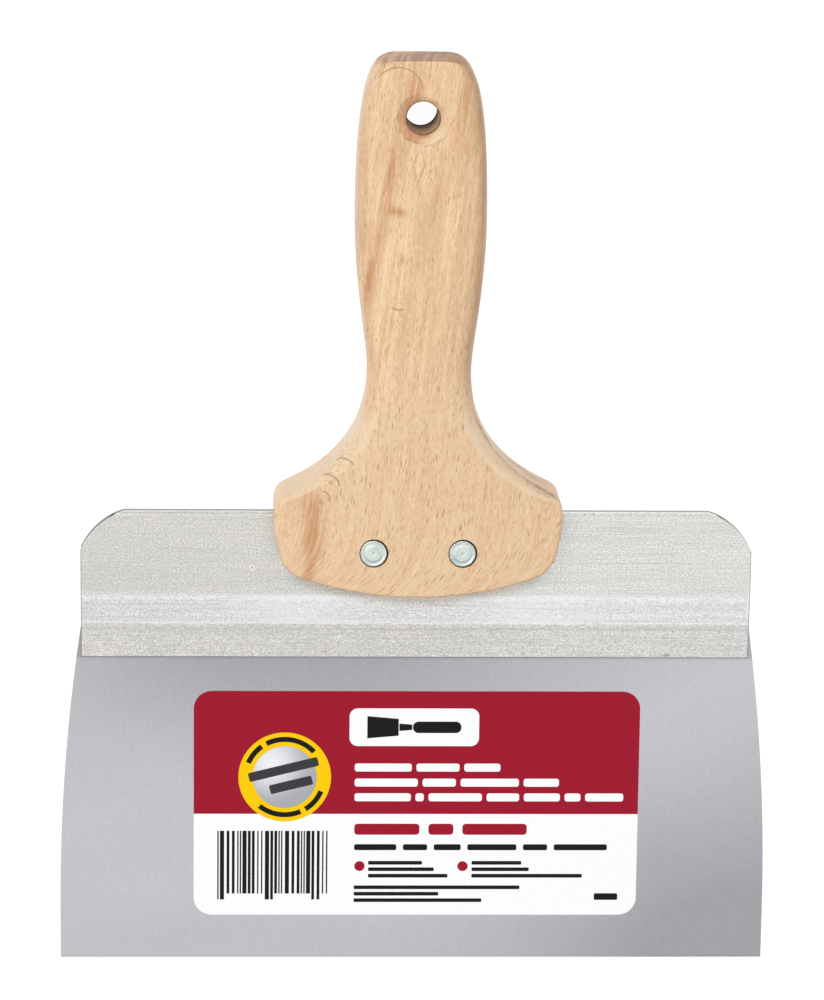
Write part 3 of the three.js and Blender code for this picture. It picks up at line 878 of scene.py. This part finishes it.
def paint_hole(p, front, crumbs):
    """Marks and wear round the hanging hole, its dark edge, and painted light and shade on its wall. Gives 1
    on the wall and 0 elsewhere.
    """
    hole_up = p.math("SUBTRACT", p.along, HOLE_ALONG)
    bearing = p.vector("NORMALIZE", p.join(p.x, hole_up, 0.0))
    from_hole = p.away_from(0.0, HOLE_ALONG)
    ragged = p.noise(p.place, 1.5, 3.0, 0.6)
    reach = p.add(from_hole, p.scaled(ragged, 2.4, -1.2))
    for direction, spread, near, far, strength, shade in HOLE_WEAR:
        heading = (math.cos(math.radians(direction)), math.sin(math.radians(direction)), 0)
        towards = p.vector("DOT_PRODUCT", bearing, heading)
        edge, middle = math.cos(math.radians(spread)), math.cos(math.radians(spread * 0.3))
        sector = p.ramp(p.add(towards, p.scaled(crumbs, 0.3, -0.15)), edge, middle)
        sector = p.times(sector, front)
        collar = p.times(p.ramp(reach, far + 0.3, far - 0.5), p.ramp(from_hole, near - 0.4, near + 0.4))
        patch = p.times(p.times(sector, collar), strength)
        p.wash(p.times(patch, p.ramp(ragged, 0.3, 0.55, 0.6, 1.0)), *shade)
        outline = p.times(p.hump(reach, far, 0.22), sector)
        p.wash(p.times(outline, strength * 0.7), 140, 98, 72)
    rim = p.times(p.hump(from_hole, HOLE_RADIUS + 0.12, 0.17), p.ramp(hole_up, -4.5, -1.0, 0.3, 1.0))
    p.wash(p.times(rim, 0.9), 96, 60, 48)
    wall = p.ramp(from_hole, HOLE_RADIUS, HOLE_RADIUS + 0.12, 1.0, 0.0)
    # painted light on the wall near the face, and painted shade deeper in the hole
    p.wash(p.times(wall, p.ramp(p.out, 9.8, 6.0, 0.0, 0.9)), 232, 202, 172)
    p.wash(p.times(wall, p.ramp(p.out, 2.0, -9.0, 0.0, 0.97)), 24, 16, 16)
    return wall


def mill_aluminium():
    p = Paint("mill_aluminium", (234, 226, 220), metallic=1.0)
    upward = p.facing[1]
    wide = p.math("ABSOLUTE", p.x)
    end = BACK_WIDTH / 2
    lines = p.noise(p.place, (26, 0.34, 3.0), 3.0, 0.7)
    broad = p.noise(p.place, (120, 1.8, 3.0), 2.0)
    speck = p.noise(p.place, (0.6, 0.4, 0.5), 3.0, 0.8)
    patches = p.noise(p.place, (9, 5, 9), 2.0)
    p.wash(p.ramp(patches, 0.38, 0.62), 223, 225, 219)

    # painted highlights: the bent part and the edges of the bends catch more light than the flat top and the
    # lip. Painted shade on the upper part's left and painted light on its right even out the lamp, and
    # painted shade dims the fold's strips that turn a little upwards
    above_lip = p.ramp(p.along, LIP_TOP - 0.6, LIP_TOP + 0.6)
    bent = p.times(above_lip, p.ramp(p.along, BEND - 0.6, BEND + 0.6, 1.0, 0.0))
    crease = p.times(p.hump(p.along, BEND - 0.9, 1.0), p.ramp(speck, 0.6, 0.4, 0.4, 1.0))
    lip_glint = p.hump(p.along, LIP_TOP - 0.1, 0.28)
    groove = p.hump(p.along, LIP_TOP - 1.9, 0.4)
    upper = p.ramp(p.along, LIP_TOP, BEND + 4, 0.3, 1.0)
    p.wash(p.times(p.ramp(p.x, -90, 15, 0.5, 0.0), upper), 211, 206, 201)
    p.wash(p.ramp(p.x, 0, 50, 0.0, 0.5), 246, 246, 242)
    p.wash(p.times(bent, p.ramp(p.x, -80, 80, 0.6, 1.0)), 249, 249, 249)
    p.darken(p.hump(upward, 0.22, 0.14), 226, 226, 226)

    # rolling lines and specks
    p.wash(p.ramp(speck, 0.42, 0.68, 0.0, 0.85), 182, 182, 176)
    p.wash(p.ramp(speck, 0.5, 0.3, 0.0, 0.95), 254, 253, 250)
    p.wash(p.ramp(lines, 0.46, 0.68, 0.0, 0.5), 190, 189, 183)
    p.wash(p.ramp(broad, 0.4, 0.7, 0.0, 0.15), 200, 201, 196)
    # painted highlights along the lip's upper edge and along the crease
    p.wash(p.times(lip_glint, 0.35), 255, 255, 255)
    p.wash(p.times(crease, 0.6), 255, 255, 255)
    p.wash(p.times(groove, 0.3), 172, 174, 170)
    lip = p.ramp(p.along, LIP_TOP, LIP_TOP - 1)
    p.darken(p.times(lip, p.ramp(p.x, -90, 50, 0.5, 1.0)), 246, 246, 246)
    # painted highlight along the right end of the bent part
    end_glint = p.times(p.ramp(p.x, end - 1.0, end - 0.6), p.hump(p.along, 106, 4.5))
    p.wash(p.times(end_glint, p.ramp(speck, 0.6, 0.4)), 255, 255, 255)

    # painted light makes it a little brighter on both sides of the head, and a painted shadow darkens it
    # under the head's lower edge
    p.wash(p.times(p.times(p.hump(wide, 34, 16), bent), 0.35), 252, 251, 248)
    head_shadow = p.times(p.ramp(p.above_head(), -2.1, -5.4, 1.0, 0.0), p.ramp(wide, 8, 30, 1.0, 0.65))
    head_shadow = p.times(head_shadow, p.ramp(wide, 32, 38.5, 1.0, 0.0))
    p.darken(p.times(head_shadow, p.ramp(p.out, 0, 1)), 217, 208, 198)

    # small pits, a larger one with a pale rim, and a nick in the lower edge
    pits = p.specks(p.place, (9.0, 7.0, 7.0), 0.035, 0.5)
    from_pit = p.away_from(-46.7, 116.7)
    p.wash(p.ramp(from_pit, 0.95, 0.55, 0.0, 0.8), 250, 248, 244)
    pits = p.math("MAXIMUM", pits, p.ramp(from_pit, 0.48, 0.2))
    nick = p.times(p.hump(p.x, 71.9, 1.1), p.hump(p.along, BACK_BOTTOM + 0.9, 0.4))
    pits = p.math("MAXIMUM", pits, nick)
    p.wash(p.times(pits, 0.7), 120, 116, 108)

    # a thin dark line of painted shade runs along both ends and the lower edge, and along the rear of the
    # corners and fold
    _, _, corner = back_corner()
    past_side = p.math("MAXIMUM", p.math("SUBTRACT", wide, corner.x), 0.0)
    past_top = p.math("MAXIMUM", p.math("SUBTRACT", p.along, corner.y), 0.0)
    from_corner = p.vector("LENGTH", p.join(past_side, past_top, 0.0))
    sheared = p.ramp(from_corner, CORNER_RADIUS - 0.14, CORNER_RADIUS - 0.06)
    sheared = p.times(sheared, p.ramp(p.out, 0.6, -0.2))
    sheared = p.math("MAXIMUM", sheared, p.ramp(wide, end - 0.28, end - 0.12))
    fold_line = p.times(p.ramp(upward, 0.3, 0.6), p.ramp(p.out, 0.8, 0.0))
    bottom_line = p.ramp(p.along, BACK_BOTTOM + 0.4, BACK_BOTTOM + 0.15)
    dark_line = p.math("MAXIMUM", p.math("MAXIMUM", sheared, fold_line), p.times(bottom_line, 0.9))
    p.wash(p.times(dark_line, 0.85), 120, 118, 114)

    roughness = p.add(p.scaled(speck, 0.22, 0.3), p.times(broad, 0.08))
    height = p.add(p.times(lines, 0.35), p.times(speck, 0.5))
    return p.finish(roughness, height, 0.03)


def satin_steel():
    p = Paint("satin_stainless", (202, 201, 203), metallic=1.0)
    grain = p.noise(p.place, (0.2, 3.5, 1.0), 3.0, 0.6)
    clouds = p.noise(p.place, (60, 40, 10), 1.0)
    # painted reflection: two soft darker areas, high in the middle and low on the right, a darker strip
    # along the working edge, and the sheet a little lighter to the right
    high_middle = p.times(p.hump(p.x, -30, 78), p.hump(p.along, 104, 40))
    low_right = p.times(p.hump(p.x, 104, 70), p.hump(p.along, 6, 50))
    darker = p.math("MAXIMUM", high_middle, low_right)
    darker = p.add(darker, p.scaled(clouds, 0.3, -0.15))
    darker = p.add(darker, p.ramp(p.along, 24, 4, 0.0, 0.15))
    p.wash(p.ramp(p.x, 30, 90), 205, 204, 206)
    p.wash(p.math("MINIMUM", darker, 0.9, clamp=True), 162, 162, 165)
    fine = p.noise(p.place, (0.7, 1.2, 1.0), 2.0, 0.6)
    p.darken(p.ramp(fine, 0.35, 0.65, 0.0, 0.5), 242, 242, 243)
    # painted shadow on the blade just under the back's lower edge
    back_shadow = p.ramp(p.along, BACK_BOTTOM - 1.2, BACK_BOTTOM)
    p.wash(p.times(back_shadow, 0.4), 130, 130, 132)
    roughness = p.add(p.scaled(grain, 0.06, 0.24), p.times(clouds, 0.05))
    return p.finish(roughness, grain, 0.001)


def zinc():
    p = Paint("zinc_plated_steel", (222, 229, 218), metallic=1.0)
    from_axis = p.away_from(RIVET_SPACING / 2, RIVET_ALONG, mirrored=True)
    up = p.math("SUBTRACT", p.along, RIVET_ALONG)
    speck = p.noise(p.place, 0.45, 3.0, 0.7)
    clouds = p.noise(p.place, 2.4, 1.0)
    tooling = p.math("SINE", p.times(p.add(from_axis, p.times(clouds, 0.4)), 15.0))

    p.wash(p.ramp(clouds, 0.35, 0.65), 203, 214, 212)
    # painted shade in the lower part of the ring-shaped dish
    p.wash(p.times(p.hump(from_axis, 2.5, 0.32), p.ramp(up, 0.6, -1.6, 0.0, 0.75)), 154, 170, 174)
    p.wash(p.times(p.hump(from_axis, 1.5, 0.15), 0.3), 168, 180, 180)
    p.wash(p.ramp(from_axis, 0.5, 0.15, 0.0, 0.5), 140, 152, 156)
    p.wash(p.ramp(speck, 0.5, 0.75, 0.0, 0.45), 158, 170, 170)
    rim = p.times(p.ramp(from_axis, 3.2, 3.6), p.ramp(speck, 0.5, 0.64))
    p.wash(p.times(rim, 0.6), 92, 100, 104)
    roughness = p.add(p.scaled(speck, 0.22, 0.28), p.times(tooling, 0.02))
    height = p.add(p.times(speck, 0.8), p.times(tooling, 0.12))
    return p.finish(roughness, height, 0.012)


def label_stock(name, ink, shine=None):
    """Printed film: an even colour with the faint mottle of ink. Shine is the paler colour that the grey
    disc has at its upper left."""
    p = Paint(name, ink, specular=0.08)
    mottle = p.noise(p.place, 1.3, 3.0, 0.6)
    p.wash(mottle, *(value * 0.975 for value in ink))
    if shine:
        away = p.away_from(RING_CENTRE[0] - 4, RING_CENTRE[1] + 4)
        p.wash(p.ramp(away, 0.0, 13.0, 1.0, 0.0), *shine)
    return p.finish(p.scaled(mottle, 0.08, 0.38), mottle, 0.002)


# ---- Assembly ----

beech_material = beech()
zinc_material = zinc()

finish_piece(make_handle(), beech_material, "beech", "wood_handle")
finish_piece(make_back(), mill_aluminium(), "mill_aluminium", "aluminium_back")

for side_name, side_sign in (("left", -1), ("right", 1)):
    rivet_x = side_sign * RIVET_SPACING / 2
    pin_half = make_pin_half(f"{side_name}_rivet_pin", rivet_x)
    tube_half = make_tube_half(f"{side_name}_rivet_tube", rivet_x)
    finish_piece(pin_half, zinc_material, "rivet_steel", f"{side_name}_rivet_pin_half")
    finish_piece(tube_half, zinc_material, "rivet_steel", f"{side_name}_rivet_tube_half")

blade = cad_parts["blade"]
blade.data.materials.clear()
blade.data.materials.append(satin_steel())
smooth(blade, 25)

white_film = label_stock("white_film", (253, 253, 252))
red_ink = label_stock("red_ink", (161, 24, 46))
yellow_ink = label_stock("yellow_ink", (255, 205, 0))
grey_ink = label_stock("grey_ink", (172, 173, 176), shine=(238, 238, 240))
black_ink = label_stock("black_ink", (28, 26, 28))
dark_grey_ink = label_stock("dark_grey_ink", (62, 60, 64))

film_outline = rounded_box(LABEL_LEFT, LABEL_LOW, LABEL_RIGHT, LABEL_HIGH, LABEL_CORNER)
film = prism("label_film", film_outline, BLADE_THICKNESS / 2, FILM_TOP)
finish_piece(film, white_film, "label_film", "label")

band_outline = rounded_box(LABEL_LEFT, BAND_LOW, LABEL_RIGHT, LABEL_HIGH, LABEL_CORNER, corners="top")
plate_outline = rounded_box(-18.6, 63.6, 18.6, 74.8, 2.4)
bullets = [arc(x, 27.6, 1.5, 0, 345, 23) for x in (-15.4, 14.4)]
title_rows = (
    word_bars(TEXT_LEFT, 57.2, 2.4, (16.4, 12.4, 10.4)),
    word_bars(TEXT_LEFT, 52.7, 2.4, (18.2, 9.6, 16.8, 10.2)),
    word_bars(TEXT_LEFT, 48.3, 2.4, (16.2, 2.4, 15.4, 9.4, 10.4, 4.6, 11.0)),
)
size_row = word_bars(TEXT_LEFT, 38.7, 3.3, (18.8, 7.2, 18.6), 2.6)
steel_row = word_bars(TEXT_LEFT, 33.3, 1.8, (12.2, 7.0, 7.8, 14.2, 7.0, 15.4), 1.9)
print_rows = [
    *small_print(-12.9, 28.6, (15.6, 19.0, 23.0)),
    *small_print(17.0, 28.6, (14.4, 16.6, 32.0)),
    *small_print(TEXT_LEFT, 21.2, (48.0, 24.5, 37.0)),
    rounded_box(52.6, 17.4, 59.4, 19.4, 0.4, 4),
]
for piece_name, shapes, layer, ink in (
    ("label_red_band", [band_outline], 1, red_ink),
    ("label_white_plate", [plate_outline], 2, white_film),
    ("label_scraper_sign", scraper_sign(0.0, 69.2), 3, black_ink),
    ("label_yellow_ring", yellow_ring(), 2, yellow_ink),
    ("label_grey_disc", [arc(*RING_CENTRE, RING_INNER + 0.02, 0, 356, 89)], 2, grey_ink),
    ("label_ring_bars", ring_bars(), 3, black_ink),
    ("label_disc_bars", disc_bars(), 3, dark_grey_ink),
    ("label_title_1", title_rows[0], 2, white_film),
    ("label_title_2", title_rows[1], 2, white_film),
    ("label_title_3", title_rows[2], 2, white_film),
    ("label_size_line", size_row, 1, red_ink),
    ("label_steel_line", steel_row, 1, black_ink),
    ("label_small_print", print_rows, 1, black_ink),
    ("label_bullets", bullets, 1, red_ink),
    ("label_stripes", stripes(), 1, black_ink),
):
    finish_piece(printed(piece_name, shapes, layer), ink, "label_film")

# ---- Studio ----


def make_key_light():
    """A large soft lamp over the knife's upper left, turned towards its middle."""
    place = Vector((-0.9, 0.8, 1.5))
    light = bpy.data.lights.new("key", "AREA")
    light.shape = "SQUARE"
    light.size = 1.3
    light.energy = 9
    lamp = bpy.data.objects.new("key", light)
    lamp.location = place
    lamp.rotation_mode = "QUATERNION"
    lamp.rotation_quaternion = (-place).to_track_quat("-Z", "Y")
    bpy.context.scene.collection.objects.link(lamp)


def make_floor():
    mesh = bpy.data.meshes.new("floor")
    reach = 6.0
    corners = [(-reach, -reach, 0), (reach, -reach, 0), (reach, reach, 0), (-reach, reach, 0)]
    mesh.from_pydata(corners, [], [(0, 1, 2, 3)])
    floor = bpy.data.objects.new("floor", mesh)
    bpy.context.scene.collection.objects.link(floor)
    material = bpy.data.materials.new("white_table")
    material.use_nodes = True
    tree = material.node_tree
    shader = tree.nodes["Principled BSDF"]
    # a lit table top: it glows a little, so that it stays white under the knife too
    shader.inputs["Base Color"].default_value = (0.2, 0.2, 0.2, 1)
    shader.inputs["Roughness"].default_value = 0.9
    shader.inputs["Emission Color"].default_value = (1, 1, 1, 1)
    shader.inputs["Emission Strength"].default_value = 0.94
    mesh.materials.append(material)


def make_camera():
    """The photograph's view: tipped towards the handle's end, a little to the left, and slightly rolled."""
    tip, swing, roll = math.radians(12.75), math.radians(2.2), math.radians(0.69)
    distance = 1.25
    target = to_frame(-1.46, 135.94, 0.0)
    back = Vector((-math.sin(swing) * math.cos(tip), math.sin(tip), math.cos(swing) * math.cos(tip)))
    right = (-back).cross(Vector((0, 1, 0))).normalized()
    up = right.cross(-back)
    rolled_right = right * math.cos(roll) + up * math.sin(roll)
    rolled_up = up * math.cos(roll) - right * math.sin(roll)
    data = bpy.data.cameras.new("camera")
    data.sensor_width = 36
    data.lens = 158.72
    camera = bpy.data.objects.new("camera", data)
    turn = Matrix((rolled_right, rolled_up, back)).transposed()
    camera.matrix_world = Matrix.Translation(target + back * distance) @ turn.to_4x4()
    bpy.context.scene.collection.objects.link(camera)
    bpy.context.scene.camera = camera


def make_world():
    """A soft dome of light, brightest overhead."""
    world = bpy.data.worlds.new("studio")
    world.use_nodes = True
    tree = world.node_tree
    background = tree.nodes["Background"]
    background.inputs["Color"].default_value = (0.97, 0.985, 1.0, 1)
    direction = tree.nodes.new("ShaderNodeTexCoord")
    height = tree.nodes.new("ShaderNodeSeparateXYZ")
    glow = tree.nodes.new("ShaderNodeMapRange")
    tree.links.new(direction.outputs["Generated"], height.inputs[0])
    tree.links.new(height.outputs["Z"], glow.inputs["Value"])
    tree.links.new(glow.outputs[0], background.inputs["Strength"])
    glow.inputs["To Min"].default_value = 0.55
    glow.inputs["To Max"].default_value = 1.06
    bpy.context.scene.world = world


make_floor()
make_world()
make_camera()
make_key_light()
bpy.context.scene.view_settings.view_transform = "Standard"
